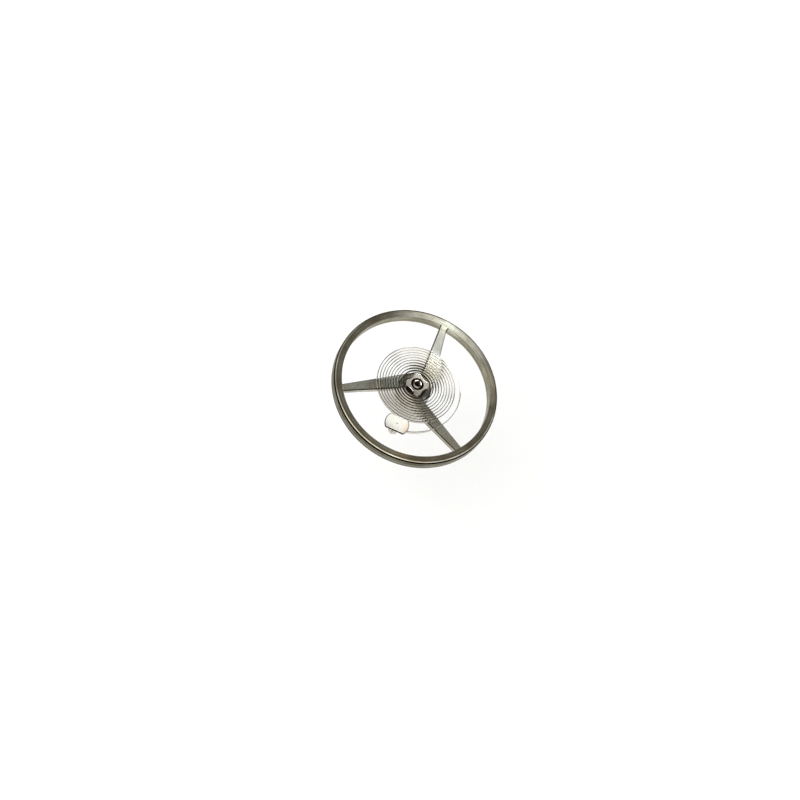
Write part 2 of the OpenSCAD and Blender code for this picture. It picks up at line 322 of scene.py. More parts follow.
def bitten(angle, radius, bite_at, bite_radius, bite_deg, soft=0.0):
    """A disc's radius where circles bite into its edge. A ray at the angle f from a
    circle's own direction meets it at d cos f - sqrt(s), where d is the distance of
    its centre and s is its radius squared less (d sin f) squared. Where s is
    negative, the ray misses the circle. The smaller of that distance and the disc's
    radius counts, blended over the width soft at the corner."""
    result = np.full(angle.shape, float(radius))
    for degrees in np.atleast_1d(bite_deg):
        f = (angle - math.radians(degrees) + np.pi) % TURN - np.pi
        s = bite_radius**2 - (bite_at * np.sin(f)) ** 2
        meets = (s > 0) & (np.cos(f) > 0)
        edge = np.where(meets, bite_at * np.cos(f) - np.sqrt(np.maximum(s, 0)), NEVER)
        if soft:
            gap = np.clip(0.5 + (edge - result) / (2 * soft), 0, 1)
            result = edge * (1 - gap) + result * gap - soft * gap * (1 - gap)
        result = np.minimum(result, edge)
    return result


turn = around(360)
safety_edge = bitten(turn, safety_r, safety_r + hollow_r / 3, hollow_r, jewel_deg)
roller_radii = column(
    roller_bore, safety_edge - c, safety_edge, safety_edge, safety_edge - c, neck_r, neck_r,
    roller_r - c, roller_r, roller_r, roller_r - c, roller_bore)
roller_heights = column(
    safety_z, safety_z, safety_z + c, safety_z + safety_t - c, safety_z + safety_t,
    safety_z + safety_t, roller_z, roller_z, roller_z + c, roller_top - c, roller_top, roller_top)
skin("double_roller_turned", rings(turn, roller_radii, roller_heights), loops=True,
     stands_for=["double_roller"])

# %% [markdown]
# The impulse jewel is a ruby pin with a flat ground along the side that faces
# away from the staff. It is pushed through the large disc, and a bead of shellac
# holds it from above. The bead is a low dome with a slightly uneven edge, since
# it was melted on by hand.

# %% The jewel and its shellac
jewel_r, jewel_at, jewel_len, left_by_flat = 0.18, 0.8, 0.46, 0.68
jewel_flat = 2 * jewel_r * (left_by_flat - 0.5)
shellac_r, shellac_t = 0.25, 0.05


def moved(points, degrees, distance):
    """A grid of points turned to a direction and moved out by a distance: its own
    x axis then points away from the staff."""
    x, y = np.moveaxis(turned_by(points[..., :2], degrees), -1, 0)
    away = polar(distance, degrees)
    return np.stack([x + away[0], y + away[1], points[..., 2]], -1)


turn = around(96)
facing = np.maximum(np.cos(turn), 1e-6)
jewel_edge = np.minimum(jewel_r, jewel_flat / facing)
c = 0.012  # width of the jewel's chamfers
jewel_points = rings(
    turn,
    column(0, jewel_edge - c, jewel_edge, jewel_edge, jewel_edge - c, 0),
    roller_top - jewel_len + column(0, 0, c, jewel_len - c, jewel_len, jewel_len))
skin("ruby_pin", moved(jewel_points, jewel_deg, jewel_at),
     stands_for=["impulse_jewel"])

rise = np.linspace(0, 1, 14)[:, None]
uneven = 1 - 0.035 * (1 + np.sin(3 * turn + 0.7)) / 2 - 0.03 * (1 + np.sin(7 * turn)) / 2
bead_points = rings(turn, shellac_r * np.cos(rise * np.pi / 2) * uneven,
                    roller_top + shellac_t * np.sin(rise * np.pi / 2))
bead_points = np.concatenate([rings(turn, column(0), column(roller_top)), bead_points])
skin("shellac_bead", moved(bead_points, jewel_deg, jewel_at),
     stands_for=["jewel_shellac"])

# %% [markdown]
# The collet holds the inner end of the spring. Four hollows in its side leave
# four lobes, and the strip is welded to one of them. The corners of the lobes are
# softened a little, as tumbling leaves them. A countersink round the bore is
# painted dark as painted shade, and shows as the dark ring round the end of the
# staff's seat.

# %% The collet
coils, bend_deg, last_deg = 10.66, 16, 130
end_turn = coils * 360 + bend_deg + last_deg
weld_deg = -90 + end_turn
collet_r, collet_z, collet_bore, countersink = 0.7, 1.84, 0.303, 0.09
waist_r, waist_bite_r = 0.53, 0.83

turn = around(480)
lobes = bitten(turn, collet_r, waist_r + waist_bite_r, waist_bite_r,
               weld_deg + 45 + 90 * np.arange(4), soft=0.02)
lobe_in, lobe_down = rounding(0.03, 5)
skin("collet_with_lobes", rings(
    turn,
    column(collet_bore, *(lobes - i for i in lobe_in[::-1]), *(lobes - i for i in lobe_in),
           collet_bore + countersink, collet_bore),
    column(collet_z, *(collet_z + d for d in lobe_down[::-1]),
           *(collet_top - d for d in lobe_down), collet_top, collet_top - countersink)),
    loops=True, stands_for=["collet"])

# %% [markdown]
# The hairspring is one flat strip of spring alloy, rolled from fine wire. Its
# distance from the axis grows evenly with each turn. Near its end it bends
# outwards, and a last curve leads it to the stud. Blender could draw this with a
# bevelled curve, but a section carried along a path keeps the strip upright and
# its thickness exact. Here the section has rounded edges, as rolling leaves them.

# %% The hairspring
strip_t, strip_z, strip_top = 0.036, 2.03, 2.23
coil_turn, bend_turn = coils * 360, coils * 360 + bend_deg
pitch, bend_out, last_out = 0.1637, 0.21, 0.63
weld_gap, lead_in_deg = 0.01, 12
first_r = collet_r + weld_gap + strip_t / 2 + pitch * lead_in_deg / 360
coil_out_r = first_r + pitch * coils
terminal_r = coil_out_r + bend_out
stud_r = terminal_r + last_out


def spring_radius(t):
    """Distance from the axis after a turn of t degrees. In the coils it grows by
    the pitch in each turn. In the bend it grows with the square of the way through
    the bend, and in the last curve with the power 2.5 of the way to the stud."""
    coil = first_r + pitch * t / 360
    bend = coil_out_r + bend_out * np.clip((t - coil_turn) / bend_deg, 0, 1) ** 2
    last = terminal_r + last_out * np.clip((t - bend_turn) / last_deg, 0, 1) ** 2.5
    return np.where(t <= coil_turn, coil, np.where(t <= bend_turn, bend, last))


t = np.concatenate([
    np.arange(-lead_in_deg, coil_turn, 2.5), np.linspace(coil_turn, bend_turn, 13)[:-1],
    np.linspace(bend_turn, end_turn, 66)])
path = polar(spring_radius(t), weld_deg - t)
length = np.concatenate([[0], np.cumsum(np.linalg.norm(np.diff(path, axis=0), axis=1))])
along = np.gradient(path, axis=0)
along /= np.linalg.norm(along, axis=1, keepdims=True)
side = np.stack([-along[:, 1], along[:, 0]], -1)
half_t, half_h, edge_r = strip_t / 2, (strip_top - strip_z) / 2, 0.005
arc = np.linspace(0, np.pi / 2, 4)
quarter = np.column_stack([half_t - edge_r + edge_r * np.cos(arc),
                           half_h - edge_r + edge_r * np.sin(arc)])
section = np.concatenate([
    quarter, (quarter * [-1, 1])[::-1], -quarter, (quarter * [1, -1])[::-1]])
points = np.concatenate([
    path[:, None, :] + side[:, None, :] * section[None, :, :1],
    np.broadcast_to(strip_z + half_h + section[None, :, 1:], (len(path), len(section), 1))], -1)
ends = [np.broadcast_to(points[i].mean(0), points[i].shape)[None] for i in (0, -1)]
spring = skin("hairspring_strip", np.concatenate([ends[0], points, ends[1]]),
              body=None, stands_for=["hairspring"], sharp=50)
print(f"strip: {length[-1]:.1f} mm long, {end_turn / 360:.2f} turns")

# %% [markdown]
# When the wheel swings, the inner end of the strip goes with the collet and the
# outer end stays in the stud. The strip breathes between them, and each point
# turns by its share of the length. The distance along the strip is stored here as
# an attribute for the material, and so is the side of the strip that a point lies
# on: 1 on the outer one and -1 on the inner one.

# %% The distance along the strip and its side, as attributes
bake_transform(spring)
where = np.empty(len(spring.data.vertices) * 3, np.float32)
spring.data.vertices.foreach_get("co", where)
where = where.reshape(-1, 3)[:, :2] / MM
nearest = np.empty(len(where), np.int64)
at_once = 4000
for start in range(0, len(where), at_once):
    part = where[start:start + at_once]
    nearest[start:start + at_once] = np.argmin(
        ((part[:, None, :] - path[None, :, :]) ** 2).sum(-1), axis=1)
side_of_strip = np.sign(((where - path[nearest]) * side[nearest]).sum(-1))
for name, values in (("run_mm", length[nearest]), ("outward", side_of_strip)):
    made = spring.data.attributes.new(name, "FLOAT", "POINT")
    made.data.foreach_set("value", values.astype(np.float32))

# %% [markdown]
# The strip is welded to its lobe with two small spots. Each is a flattened bead
# of metal on the seam, made as a sphere that is squeezed in height.

# %% The weld spots
spot_r, spot_h, on_seam = 0.024, 0.009, 0.004
beta = np.linspace(-np.pi / 2, np.pi / 2, 13)[:, None]
for i, off in enumerate((-3.0, 4.0)):
    spot = rings(around(24), spot_r * np.cos(beta), strip_top - 0.002 + spot_h * np.sin(beta))
    skin(f"weld_spot_{i + 1}", moved(spot, weld_deg + off, collet_r + on_seam))

# %% [markdown]
# The stud is one piece: a plate with round ends and two flats, and a post that is
# slotted from below for the strip. Its rings start in the small mark at the
# plate's centre, spread over the top, go round the plate's edge, and come down
# the post. At the slot they turn back up inside it. In the directions in which
# the slot is open, the wall down the post and the wall back up lie on each other
# and cancel, which leaves the mouth of the slot.

# %% The stud
stud_turn, plate_r, flat_half, plate_t = 6.0, 0.74, 0.475, 0.18
plate_top, post_r, post_z, cement_t = 2.93, 0.27, 1.96, 0.05
mark_r, mark_depth = 0.05, 0.033
plate_z = plate_top - plate_t
slot_half = strip_t / 2 + cement_t
slot_top = strip_top + cement_t
# The slot opens along the strip, back from the strip's outer end.
step_back = path[-14] - path[-1]
slot_deg = math.degrees(math.atan2(step_back[1], step_back[0]))

mouth = math.asin(slot_half / post_r)
from_slot = np.concatenate([
    np.linspace(-mouth, mouth, 12, endpoint=False),
    np.linspace(mouth, TURN - mouth, 228, endpoint=False)])
turn = from_slot + math.radians(slot_deg)
in_plate = turn - math.radians(stud_turn)
plate_edge = np.minimum(plate_r, flat_half / np.maximum(np.abs(np.sin(in_plate)), 1e-6))
toward = np.cos(from_slot)
slot_edge = np.minimum(slot_half / np.maximum(np.abs(np.sin(from_slot)), 1e-9),
                       np.where(toward < 0, cement_t / np.maximum(-toward, 1e-9), NEVER))
slot_edge = np.where(np.abs(np.angle(np.exp(1j * from_slot))) <= mouth + 1e-9, post_r,
                     np.minimum(slot_edge, post_r))
edge_in, edge_down = rounding(0.05, 6)
stud_points = rings(
    turn,
    column(0, mark_r, *(plate_edge - i for i in edge_in[::-1]), *(plate_edge - i for i in edge_in),
           post_r, post_r, post_r, slot_edge, slot_edge, 0),
    column(plate_top - mark_depth, plate_top, *(plate_top - d for d in edge_down[::-1]),
           *(plate_z + d for d in edge_down), plate_z, slot_top, post_z, post_z, slot_top,
           slot_top))
skin("stud_plate_and_post", stud_points + [0, -stud_r, 0], body="stud",
     stands_for=["stud"])

# %% [markdown]
# A material is a small network of nodes. One helper adds a node, sets it and
# links it. Colours are written as the hex codes of a paint chart, which hold
# values for a screen, and one function turns them into the linear values that
# Blender calculates with.

# %% Helpers for materials


def linear(code):
    """A hex colour as linear light: each part c from 0 to 1 becomes c / 12.92 when
    it is at most 0.04045, and otherwise (c + 0.055) / 1.055 to the power 2.4."""
    part = np.array([int(code[i:i + 2], 16) for i in (1, 3, 5)]) / 255
    light = np.where(part <= 0.04045, part / 12.92, ((part + 0.055) / 1.055) ** 2.4)
    return (*light.tolist(), 1.0)


def add(tree, kind, inputs=None, **settings):
    """One node in the tree, with its own settings. Each input is a value, or the
    output socket of another node that it is linked to."""
    made = tree.nodes.new(kind)
    for key, value in settings.items():
        setattr(made, key, value)
    for key, value in (inputs or {}).items():
        if isinstance(value, bpy.types.NodeSocket):
            tree.links.new(value, made.inputs[key])
        else:
            made.inputs[key].default_value = value
    return made


def start_material(name):
    """A new material: its tree, its surface shader and its output, linked."""
    made = bpy.data.materials.new(name)
    made.use_nodes = True
    tree = made.node_tree
    tree.nodes.clear()
    shader = add(tree, "ShaderNodeBsdfPrincipled")
    add(tree, "ShaderNodeOutputMaterial", {"Surface": shader.outputs["BSDF"]})
    return made, tree, shader


def metal(name, dark, pale, rough, grain_mm, grain_depth, turned_mm=None, patch_mm=1.2,
          axis_y=0.0, zones=()):
    """A bare metal. Its colour drifts between two tones over patches of a given
    width, and its roughness drifts between the two values given. A fine noise gives
    the grain. Where turned_mm is set, a lathe has left marks of about that width
    round the axis: a noise over the distance from it and the height, which a slow
    drift breaks up along the circle. Each zone is a band of another tone, between
    an inner and an outer radius and between two heights. Sizes are in millimetres."""
    made, tree, shader = start_material(name)
    where = add(tree, "ShaderNodeTexCoord").outputs["Object"]
    patch = add(tree, "ShaderNodeTexNoise",
                {"Vector": where, "Scale": 1 / (patch_mm * MM), "Detail": 3.0, "Roughness": 0.6})
    grain = add(tree, "ShaderNodeTexNoise",
                {"Vector": where, "Scale": 1 / (grain_mm * MM), "Detail": 2.0, "Roughness": 0.5})
    from_axis = add(tree, "ShaderNodeVectorMath", {0: where, 1: (0, axis_y * MM, 0)},
                    operation="SUBTRACT")
    flat = add(tree, "ShaderNodeVectorMath", {0: from_axis.outputs[0], 1: (1, 1, 0)},
               operation="MULTIPLY")
    radius = add(tree, "ShaderNodeVectorMath", {0: flat.outputs[0]},
                 operation="LENGTH").outputs["Value"]
    z = add(tree, "ShaderNodeSeparateXYZ", {0: where}).outputs[2]
    share, height = patch.outputs[0], grain.outputs[0]
    if turned_mm:
        drift = add(tree, "ShaderNodeMath", {0: patch.outputs[0], 1: 1.2 * turned_mm * MM},
                    operation="MULTIPLY")
        lane = add(tree, "ShaderNodeCombineXYZ", {0: radius, 1: z, 2: drift.outputs[0]})
        marks = add(tree, "ShaderNodeTexNoise",
                    {"Vector": lane.outputs[0], "Scale": 1 / (turned_mm * MM), "Detail": 2.0,
                     "Roughness": 0.6})
        share = add(tree, "ShaderNodeMix",
                    {"Factor": 0.6, "A": patch.outputs[0], "B": marks.outputs[0]},
                    data_type="FLOAT").outputs[0]
        height = add(tree, "ShaderNodeMath", {0: marks.outputs[0], 1: grain.outputs[0]},
                     operation="ADD").outputs[0]
    tone = add(tree, "ShaderNodeValToRGB", {"Fac": share})
    for stop, place, code in zip(tone.color_ramp.elements, (0.38, 0.62), (dark, pale)):
        stop.position, stop.color = place, linear(code)
    colour = tone.outputs[0]
    for inner, outer, low, high, other in zones:
        middle_r, half_w = (inner + outer) / 2 * MM, (outer - inner) / 2 * MM
        middle_z, half_tall = (low + high) / 2 * MM, (high - low) / 2 * MM
        in_width = add(tree, "ShaderNodeMath", {0: radius, 1: middle_r, 2: half_w},
                       operation="COMPARE")
        in_height = add(tree, "ShaderNodeMath", {0: z, 1: middle_z, 2: half_tall},
                        operation="COMPARE")
        both = add(tree, "ShaderNodeMath", {0: in_width.outputs[0], 1: in_height.outputs[0]},
                   operation="MULTIPLY")
        colour = add(tree, "ShaderNodeMix",
                     {"Factor": both.outputs[0], "A": colour, "B": linear(other)},
                     data_type="RGBA").outputs["Result"]
    tree.links.new(colour, shader.inputs["Base Color"])
    gloss = add(tree, "ShaderNodeMapRange",
                {"Value": grain.outputs[0], "From Min": 0.3, "From Max": 0.7,
                 "To Min": rough[0], "To Max": rough[1]})
    tree.links.new(gloss.outputs[0], shader.inputs["Roughness"])
    bump = add(tree, "ShaderNodeBump",
               {"Height": height, "Distance": grain_depth * MM, "Strength": 0.6})
    tree.links.new(bump.outputs[0], shader.inputs["Normal"])
    shader.inputs["Metallic"].default_value = 1.0
    return made


# %% [markdown]
# The wheel is a copper and beryllium alloy with a thin nickel plating. The rim
# was turned, so faint circles run round it, and the arms were blasted, which
# leaves a matt grain. The collet and the rollers are finer alloys with a silver
# tone, and the staff is hardened steel, burnished until it is dark and bright.
# The marks of the lathe are drawn coarser than they are, a sixth of a millimetre
# on the rim, because the real ones are too fine to show.
#
# Each zone paints a darker tone in one place, as painted shade and painted dark
# reflections: the steep flat of the rim's edge, the hub disc under the collet, the
# edges of the hub and the arms and the feet of the arms, the countersink and the
# hollows of the collet, the pivot, cone and seat of the staff, and the mark, post
# and plate wall of the stud. An image painted over the part could do it too, but a
# zone keeps to real sizes.

# %% Metals
no_top = staff_top + 1
# Two dark tones of painted shade: the first for the edges of the hub and the arms, the second for
# the countersink and the gap round the staff.
painted_shade_edge, painted_shade_bore = "#2c2822", "#2f251e"
# The steep flat of the outer edge is painted dark, a painted dark reflection on top of the dark of
# the room that it mirrors.
rim_zones = [  # the steep flat of the outer edge
    (rim_r - 0.06, rim_r + 0.01, rim_top - 0.13, rim_top - 0.022, "#1f1b15")]
# Painted shade: the hub disc is darker under the collet, with a darker ring at its edge, and the
# hub's wall and the lower and upper edges of the arms are dark.
arm_zones = [  # the hub disc and its edge, then the arms' lower, inner and upper edges
    (0, 0.98, 0, no_top, "#75746a"),
    (0.9, 1.0, arm_top - 0.03, no_top, "#4f4b42"),
    (1.0, rim_in_r, wheel_z - 0.01, wheel_z + 0.085, painted_shade_edge),
    (1.0, 1.03, wheel_z + 0.01, arm_top - 0.003, painted_shade_edge),
    (1.0, rim_in_r, arm_top - 0.07, arm_top - 0.003, painted_shade_edge)]
# Painted dark reflections and shade on the one steel of the staff: the pivot near black, the cone
# dark, the top of the collet's seat a little darker, and its edge dark as painted shade in the gap
# round the staff.
staff_zones = [  # pivot, cone, top of the collet's seat, and its edge
    (0, 0.06, 0, no_top, "#1e1610"),
    (0.06, 0.176, 0, no_top, "#6a5b4f"),
    (0.176, 0.262, 2, no_top, "#958c82"),
    (0.262, 0.31, 2, no_top, painted_shade_bore)]
# Both zones are painted shade: the countersink round the staff and the hollows between the lobes
# are painted dark.
collet_zones = [  # the countersink, then the hollows between the lobes
    (0, 0.391, 0, no_top, painted_shade_bore),
    (0.5, 0.66, collet_z + 0.02, collet_top - 0.025, "#2c2620")]
# Painted shade in the mark and on the post under the plate, and a painted dark reflection on the
# plate's wall, which draws its outline.
stud_zones = [  # the mark, the post, and the plate's wall
    (0, mark_r, 2.5, no_top, "#a39c8e"),
    (0, post_r + 0.01, post_z - 0.05, plate_z - 0.003, "#d0cbc2"),
    (post_r + 0.1, plate_r + 0.01, plate_z + 0.003, plate_top - 0.006, "#40342a")]
finishes = {
    "rim": metal("nickel plated alloy, turned", "#847c6a", "#d0d0c0", (0.1, 0.18), 0.05,
                 0.0008, turned_mm=0.16, patch_mm=1.5, zones=rim_zones),
    "arms_and_hub": metal("nickel plated alloy, blasted", "#b8b1a2", "#c8cbc0", (0.22, 0.34),
                          0.035, 0.0012, patch_mm=1.6, zones=arm_zones),
    "staff": metal("hardened steel, burnished", "#a2988e", "#bab2a9", (0.08, 0.16), 0.03,
                   0.0006, patch_mm=0.5, zones=staff_zones),
    "double_roller_turned": metal("nickel silver, turned", "#a8a49a", "#c8c4b9", (0.15, 0.26),
                                  0.04, 0.0008, turned_mm=0.08, patch_mm=0.8),
    "collet_with_lobes": metal("nickel alloy, lapped", "#c6bfb5", "#dedad2", (0.16, 0.26),
                               0.03, 0.001, patch_mm=0.6, zones=collet_zones),
    "stud_plate_and_post": metal("steel, polished", "#f6f4ef", "#fcfbf8", (0.1, 0.18), 0.04,
                                 0.0003, patch_mm=1.4, axis_y=-stud_r, zones=stud_zones),
}
print("metals:", "; ".join(finish.name for finish in finishes.values()))

# %% [markdown]
# The strip of the hairspring was rolled between polished rollers, so it is
# smooth, with faint marks that run along it. Its two narrow edges are painted
# dark, and so is a border beside them on the outer side of each coil: a painted
# dark reflection, which draws each coil as a dark line. On the last curve this
# painted dark is weaker, so its border is paler. The pattern reads the distance
# along the strip, which is stored as an attribute, so it stays in place when the
# strip breathes. A second attribute tells the outer side from the inner one.

# %% Spring alloy
# Width of the painted dark reflection along the narrow edges and on the outer side.
border_mm, fades_from, fades_to = 0.022, 0.032, 0.024
spring_alloy, tree, shader = start_material("spring alloy, rolled")
run_mm = add(tree, "ShaderNodeAttribute", attribute_name="run_mm").outputs["Fac"]
spread = add(tree, "ShaderNodeCombineXYZ", {"X": run_mm})
streaks = add(tree, "ShaderNodeTexNoise",
              {"Vector": spread.outputs[0], "Scale": 0.9, "Detail": 4.0, "Roughness": 0.6})
tone = add(tree, "ShaderNodeValToRGB", {"Fac": streaks.outputs[0]})
for stop, spot_on_ramp, code in zip(tone.color_ramp.elements, (0.35, 0.65), ("#edeae2", "#f8f7f2")):
    stop.position, stop.color = spot_on_ramp, linear(code)
z = add(tree, "ShaderNodeSeparateXYZ",
        {0: add(tree, "ShaderNodeTexCoord").outputs["Object"]}).outputs[2]
off_middle = add(tree, "ShaderNodeMath", {0: z, 1: (strip_z + half_h) * MM}, operation="SUBTRACT")
distance = add(tree, "ShaderNodeMath", {0: off_middle.outputs[0]}, operation="ABSOLUTE")
outer = add(tree, "ShaderNodeAttribute", attribute_name="outward").outputs["Fac"]
reach = add(tree, "ShaderNodeMath", {0: outer, 1: border_mm * MM, 2: distance.outputs[0]},
            operation="MULTIPLY_ADD")
at_edge = add(tree, "ShaderNodeMapRange",
              {"Value": reach.outputs[0], "From Min": (half_h - fades_from) * MM,
               "From Max": (half_h - fades_to) * MM})
along_it = add(tree, "ShaderNodeMath", {0: run_mm, 1: float(length[-1])}, operation="DIVIDE")
painted_dark_along = add(tree, "ShaderNodeValToRGB", {"Fac": along_it.outputs[0]})
leaves = float(length[np.searchsorted(t, bend_turn)] / length[-1])
painted_dark_along.color_ramp.elements.new(leaves - 0.02)
painted_dark_along.color_ramp.elements.new(leaves)
for stop, value in zip(painted_dark_along.color_ramp.elements, (1.0, 1.0, 0.35, 0.8)):
    stop.color = (value, value, value, 1)
# The narrow edges and the outer border are painted dark here, a painted dark reflection, weaker on
# the last curve.
painted_dark_edge = add(tree, "ShaderNodeMath", {0: at_edge.outputs[0], 1: painted_dark_along.outputs[0]},
                operation="MULTIPLY")
edged = add(tree, "ShaderNodeMix", {"Factor": painted_dark_edge.outputs[0], "A": tone.outputs[0],
                                    "B": linear("#5f5a51")}, data_type="RGBA")
tree.links.new(edged.outputs["Result"], shader.inputs["Base Color"])
gloss = add(tree, "ShaderNodeMapRange",
            {"Value": streaks.outputs[0], "To Min": 0.08, "To Max": 0.2})
dull = add(tree, "ShaderNodeMix", {"Factor": at_edge.outputs[0], "A": gloss.outputs[0], "B": 0.18},
           data_type="FLOAT")
tree.links.new(dull.outputs[0], shader.inputs["Roughness"])
shader.inputs["Metallic"].default_value = 1.0
finishes["hairspring_strip"] = spring_alloy
finishes["weld_spot_1"] = finishes["weld_spot_2"] = finishes["collet_with_lobes"]
print(f"the last curve starts at {leaves:.3f} of the strip's length")

# %% [markdown]
# Ruby is clear and deep red, with a gloss finish and a high index of refraction,
# 1.77. Shellac is an amber resin and the stud's cement is a brown one. Both are
# glossy, let some light in, and hold tiny bubbles that make the colour uneven.

# %% Ruby, shellac and cement


def resin(name, dark, pale, rough, glow, patch_mm, index, clear=0.0):
    """A glossy, partly clear material: its colour drifts between two tones, its
    roughness drifts upwards from the value given, the share named glow scatters
    under the surface, and the share named clear passes through."""
    made, tree, shader = start_material(name)
    where = add(tree, "ShaderNodeTexCoord").outputs["Object"]
    patch = add(tree, "ShaderNodeTexNoise",
                {"Vector": where, "Scale": 1 / (patch_mm * MM), "Detail": 3.0})
    tone = add(tree, "ShaderNodeValToRGB", {"Fac": patch.outputs[0]})
    for stop, place, code in zip(tone.color_ramp.elements, (0.3, 0.7), (dark, pale)):
        stop.position, stop.color = place, linear(code)
    tree.links.new(tone.outputs[0], shader.inputs["Base Color"])
    gloss = add(tree, "ShaderNodeMapRange",
                {"Value": patch.outputs[0], "To Min": rough, "To Max": rough + 0.12})
    tree.links.new(gloss.outputs[0], shader.inputs["Roughness"])
    shader.inputs["IOR"].default_value = index
    shader.inputs["Transmission Weight"].default_value = clear
    shader.inputs["Subsurface Weight"].default_value = glow
    shader.inputs["Subsurface Scale"].default_value = 0.05 * MM
    return made


finishes["ruby_pin"] = resin(
    "synthetic ruby, polished", "#b00d35", "#d8204d", 0.03, 0.0, 0.3, 1.77, clear=0.6)
finishes["shellac_bead"] = resin("shellac, melted on", "#5a2408", "#8a4214", 0.12, 0.3, 0.12, 1.52)
finishes["stud_cement"] = resin("epoxy cement, set", "#6e4a1c", "#9a7133", 0.2, 0.2, 0.1, 1.5)

for name, finish in finishes.items():
    piece = bpy.data.objects[name]
    piece.data.materials.clear()
    piece.data.materials.append(finish)
print("materials:", len(set(finishes.values())))

# %% [markdown]
# The camera looks down at about sixty degrees, with a long lens, so that the
# wheel's circles stay true ellipses. Its place was found by laying drawn ellipses
# over the picture: the wheel is a fifth of the frame wide and leans to the left. The
# lens is the sensor's width times the distance, divided by the width that is seen.

# %% The camera
PIXELS_PER_MM, FRAME_PX, SENSOR_MM = 17.0, 800, 36
AWAY = 0.4
yaw, tilt, roll = (math.radians(a) for a in (4.9, 30.1, 33.7))
across = Vector((math.cos(yaw), -math.sin(yaw), 0))
back = Vector((math.sin(yaw), math.cos(yaw), 0))
up = Vector((0, 0, 1))
uphill = back * math.cos(tilt) + up * math.sin(tilt)
to_camera = up * math.cos(tilt) - back * math.sin(tilt)
right = across * math.cos(roll) + uphill * math.sin(roll)
top = uphill * math.cos(roll) - across * math.sin(roll)
middle_px = (416.1, 386.1)
wheel_top = Vector((0, 0, rim_top))
aim = wheel_top + right * ((FRAME_PX / 2 - middle_px[0]) / PIXELS_PER_MM) \
    + top * ((middle_px[1] - FRAME_PX / 2) / PIXELS_PER_MM)
camera = bpy.data.objects.new("camera", bpy.data.cameras.new("camera"))
bpy.context.scene.collection.objects.link(camera)
camera.data.sensor_width = SENSOR_MM
camera.data.lens = SENSOR_MM * AWAY / (FRAME_PX / PIXELS_PER_MM * MM)
camera.data.clip_start, camera.data.clip_end = 0.01, 10
place = Matrix((right, top, to_camera)).transposed().to_4x4()
place.translation = aim * MM + to_camera * AWAY
camera.matrix_world = place
bpy.context.scene.camera = camera
print("lens in mm:", round(camera.data.lens, 1))

# %% [markdown]
# The floor is plain and pale, of matt paper whose fibres barely show. It lies a
# little below the lower pivot, because the wheel hangs free between its bearings
# and stands on nothing. The world is white to the camera and in reflections. As
# light it has half that strength, and two wide suns give the rest.

# %% Floor and light
floor_drop, floor_half = 12.0, 1.5
floor_mesh = bpy.data.meshes.new("floor")
floor_mesh.from_pydata(
    [(x * floor_half, y * floor_half, -floor_drop * MM)
     for x, y in ((-1, -1), (1, -1), (1, 1), (-1, 1))], [], [(0, 1, 2, 3)])
floor = bpy.data.objects.new("floor", floor_mesh)
bpy.context.scene.collection.objects.link(floor)
paper, tree, shader = start_material("paper, matt white")
fibres = add(tree, "ShaderNodeTexNoise",
             {"Vector": add(tree, "ShaderNodeTexCoord").outputs["Object"], "Scale": 900.0})
tone = add(tree, "ShaderNodeValToRGB", {"Fac": fibres.outputs[0]})
for stop, code in zip(tone.color_ramp.elements, ("#fbfbf8", "#fefefd")):
    stop.color = linear(code)
tree.links.new(tone.outputs[0], shader.inputs["Base Color"])
shader.inputs["Roughness"].default_value = 0.9
floor_mesh.materials.append(paper)

world = bpy.data.worlds.new("studio")
bpy.context.scene.world = world
world.use_nodes = True
tree = world.node_tree
tree.nodes.clear()
rays = add(tree, "ShaderNodeLightPath")
shown = add(tree, "ShaderNodeMath",
            {0: rays.outputs["Is Camera Ray"], 1: rays.outputs["Is Glossy Ray"]}, operation="ADD")
shown = add(tree, "ShaderNodeMath", {0: shown.outputs[0], 1: rays.outputs["Is Transmission Ray"]},
            operation="ADD", use_clamp=True)
strength = add(tree, "ShaderNodeMapRange",
               {"Value": shown.outputs[0], "To Min": 0.5, "To Max": 1.0})
light = add(tree, "ShaderNodeBackground",
            {"Color": (1, 1, 1, 1), "Strength": strength.outputs[0]})
add(tree, "ShaderNodeOutputWorld", {"Surface": light.outputs[0]})


def sun(name, direction, strength, angle):
    """A sun that shines at the wheel from a direction. The wider its angle, in
    degrees, the softer its shadows."""
    made = bpy.data.objects.new(name, bpy.data.lights.new(name, "SUN"))
    made.data.energy, made.data.angle = strength, math.radians(angle)
    direction = Vector(direction).normalized()
    made.location = direction * 0.1
    made.rotation_mode = "QUATERNION"
    made.rotation_quaternion = direction.to_track_quat("Z", "Y")
    bpy.context.scene.collection.objects.link(made)


sun("key", (-0.4, -0.5, 1.0), 1.9, 44)
sun("fill", (0.6, -0.3, 1.0), 0.5, 70)
print("floor in mm under the lower pivot:", floor_drop)

# %% [markdown]
# Bare metal has no colour of its own to show: it shows what stands round it. A
# photographer puts cards round such a part, dark ones to draw its edges and
# bright ones to lay a shine on it. The same is done here. The cards are seen in
# reflections alone, so they neither light the part nor cast a shadow.
#
# A flat top mirrors what lies in one direction, called mirrored here, so a point
# of it shows the point of a card that lies straight along that direction. One wide
# card gives all flat tops their grey. Smaller ones before it lay a shine or a shade
# on one place each: the far side of the rim, the coils, the collet, the near coils,
# the right arm and the stud's plate with its warm end. Some of them fade towards
# their edges, as a card does that a lamp shines on from close by.
#
# One card hangs high above, for the low bevel of the rim, and one lies under the
# wheel, for the rim's inner wall. Walls that stand upright mirror rings of cards
# on the ground, and steep flats mirror the dark horizon.

# %% Cards that the metal reflects
mirrored = up * math.cos(tilt) + back * math.sin(tilt)
beside = back * math.cos(tilt) - up * math.sin(tilt)


